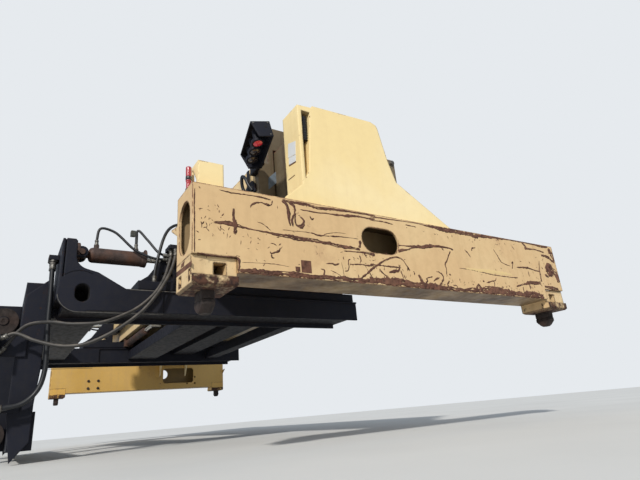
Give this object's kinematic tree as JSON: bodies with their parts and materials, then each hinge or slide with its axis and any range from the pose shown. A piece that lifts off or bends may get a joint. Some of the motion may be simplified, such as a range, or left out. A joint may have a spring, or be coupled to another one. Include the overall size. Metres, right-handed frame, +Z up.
{
  "type": "telescopic container spreader with lifting arms and mast carriage",
  "caption": "Telescopic container spreader on black lifting arms with its mast carriage: turning corner locks, extending ends, side shift, fore-aft shift.",
  "frame": {"origin": "middle of the carriage's mast face, level with the tips of the corner locks", "axes": "+X along the container to the right-hand end, +Y forward away from the mast, +Z up the mast"},
  "size_m": [6.079, 3.124, 1.639],
  "materials": {
    "black_paint": "satin black chassis paint, dusty",
    "chrome_rod": "polished hard chrome",
    "clean_cream_paint": "cream-yellow paint, hardly worn",
    "cream_paint": "faded cream-yellow paint with scrapes and rust",
    "forged_steel": "bare forged steel, rusted and greased",
    "hose_rubber": "black hydraulic hose",
    "red_lens": "clear red lens",
    "rusty_barrel": "brown weathered paint and rust",
    "wear_plastic": "greased slide pads"
  },
  "bodies": {
    "lift_frame": {"carriage_beams": "black_paint", "carriage_plates": "black_paint", "roller_plates": "black_paint", "arm_right": "black_paint", "arm_left": "black_paint", "root_beam": "black_paint", "tie_rear": "black_paint", "tie_front": "black_paint", "barrel_right": "rusty_barrel", "barrel_left": "rusty_barrel", "cylinder_hoses": "hose_rubber", "supply_hoses": "hose_rubber", "riser_hoses": "hose_rubber", "hose_clamps": "black_paint"},
    "roller_high_right": {"roller_high_right": "forged_steel"},
    "roller_high_left": {"roller_high_left": "forged_steel"},
    "roller_low_right": {"roller_low_right": "forged_steel"},
    "roller_low_left": {"roller_low_left": "forged_steel"},
    "saddle": {"saddle_right": "black_paint", "saddle_left": "black_paint", "saddle_cross": "black_paint", "shoe_pads": "wear_plastic", "side_pads": "wear_plastic", "rod_right": "chrome_rod", "rod_left": "chrome_rod", "shift_barrel": "rusty_barrel", "frame_hose": "hose_rubber"},
    "main_frame": {"sleeve_rear": "cream_paint", "sleeve_front": "cream_paint", "frame_spine": "cream_paint", "rail_rear": "cream_paint", "rail_front": "cream_paint", "collar_right": "cream_paint", "collar_left": "cream_paint", "chain_box_right": "cream_paint", "chain_box_left": "cream_paint", "mouth_pads_right": "wear_plastic", "mouth_pads_left": "wear_plastic", "lamp_hood": "black_paint", "lamp_lenses": "red_lens", "shift_rod": "chrome_rod"},
    "end_right": {"tube_right": "cream_paint", "tail_pads_right": "wear_plastic", "tower_right": "clean_cream_paint", "beam_right": "cream_paint", "corners_right": "cream_paint", "guard_right": "clean_cream_paint", "beacon_right": "red_lens"},
    "end_left": {"tube_left": "cream_paint", "tail_pads_left": "wear_plastic", "tower_left": "clean_cream_paint", "beam_left": "cream_paint", "corners_left": "cream_paint", "guard_left": "clean_cream_paint", "beacon_left": "red_lens"},
    "lock_right_rear": {"lock_right_rear": "forged_steel"},
    "lock_right_front": {"lock_right_front": "forged_steel"},
    "lock_left_front": {"lock_left_front": "forged_steel"},
    "lock_left_rear": {"lock_left_rear": "forged_steel"}
  },
  "joints": [
    {"name": "roller_high_right_spin", "type": "hinge", "parent": "lift_frame", "child": "roller_high_right", "pos_m": [0.52, -0.085, 0.43], "axis": [1, 0, 0], "continuous": true},
    {"name": "roller_high_left_spin", "type": "hinge", "parent": "lift_frame", "child": "roller_high_left", "pos_m": [-0.52, -0.085, 0.43], "axis": [1, 0, 0], "continuous": true},
    {"name": "roller_low_right_spin", "type": "hinge", "parent": "lift_frame", "child": "roller_low_right", "pos_m": [0.52, -0.085, -0.36], "axis": [1, 0, 0], "continuous": true},
    {"name": "roller_low_left_spin", "type": "hinge", "parent": "lift_frame", "child": "roller_low_left", "pos_m": [-0.52, -0.085, -0.36], "axis": [1, 0, 0], "continuous": true},
    {"name": "reach", "type": "slide", "parent": "lift_frame", "child": "saddle", "axis": [0, 1, 0], "range_m": [-0.1, 0.1], "deforming": ["cylinder_hoses", "supply_hoses"]},
    {"name": "side_shift", "type": "slide", "parent": "saddle", "child": "main_frame", "axis": [1, 0, 0], "range_m": [-0.3, 0.3], "deforming": ["frame_hose"]},
    {"name": "telescope_right", "type": "slide", "parent": "main_frame", "child": "end_right", "axis": [1, 0, 0], "range_m": [0, 3.066]},
    {"name": "telescope_left", "type": "slide", "parent": "main_frame", "child": "end_left", "axis": [-1, 0, 0], "range_m": [0, 3.066]},
    {"name": "lock_right_rear_turn", "type": "hinge", "parent": "end_right", "child": "lock_right_rear", "pos_m": [2.9265, 0.5955, 0.1], "axis": [0, 0, 1], "range_deg": [0, 90]},
    {"name": "lock_right_front_turn", "type": "hinge", "parent": "end_right", "child": "lock_right_front", "pos_m": [2.9265, 2.8545, 0.1], "axis": [0, 0, 1], "range_deg": [0, 90]},
    {"name": "lock_left_front_turn", "type": "hinge", "parent": "end_left", "child": "lock_left_front", "pos_m": [-2.9265, 2.8545, 0.1], "axis": [0, 0, 1], "range_deg": [0, 90]},
    {"name": "lock_left_rear_turn", "type": "hinge", "parent": "end_left", "child": "lock_left_rear", "pos_m": [-2.9265, 0.5955, 0.1], "axis": [0, 0, 1], "range_deg": [0, 90]}
  ],
  "couplings": [
    {"joint": "telescope_left", "follows": "telescope_right", "ratio": 1},
    {"joint": "lock_right_front_turn", "follows": "lock_right_rear_turn", "ratio": 1},
    {"joint": "lock_left_front_turn", "follows": "lock_right_rear_turn", "ratio": 1},
    {"joint": "lock_left_rear_turn", "follows": "lock_right_rear_turn", "ratio": 1}
  ]
}
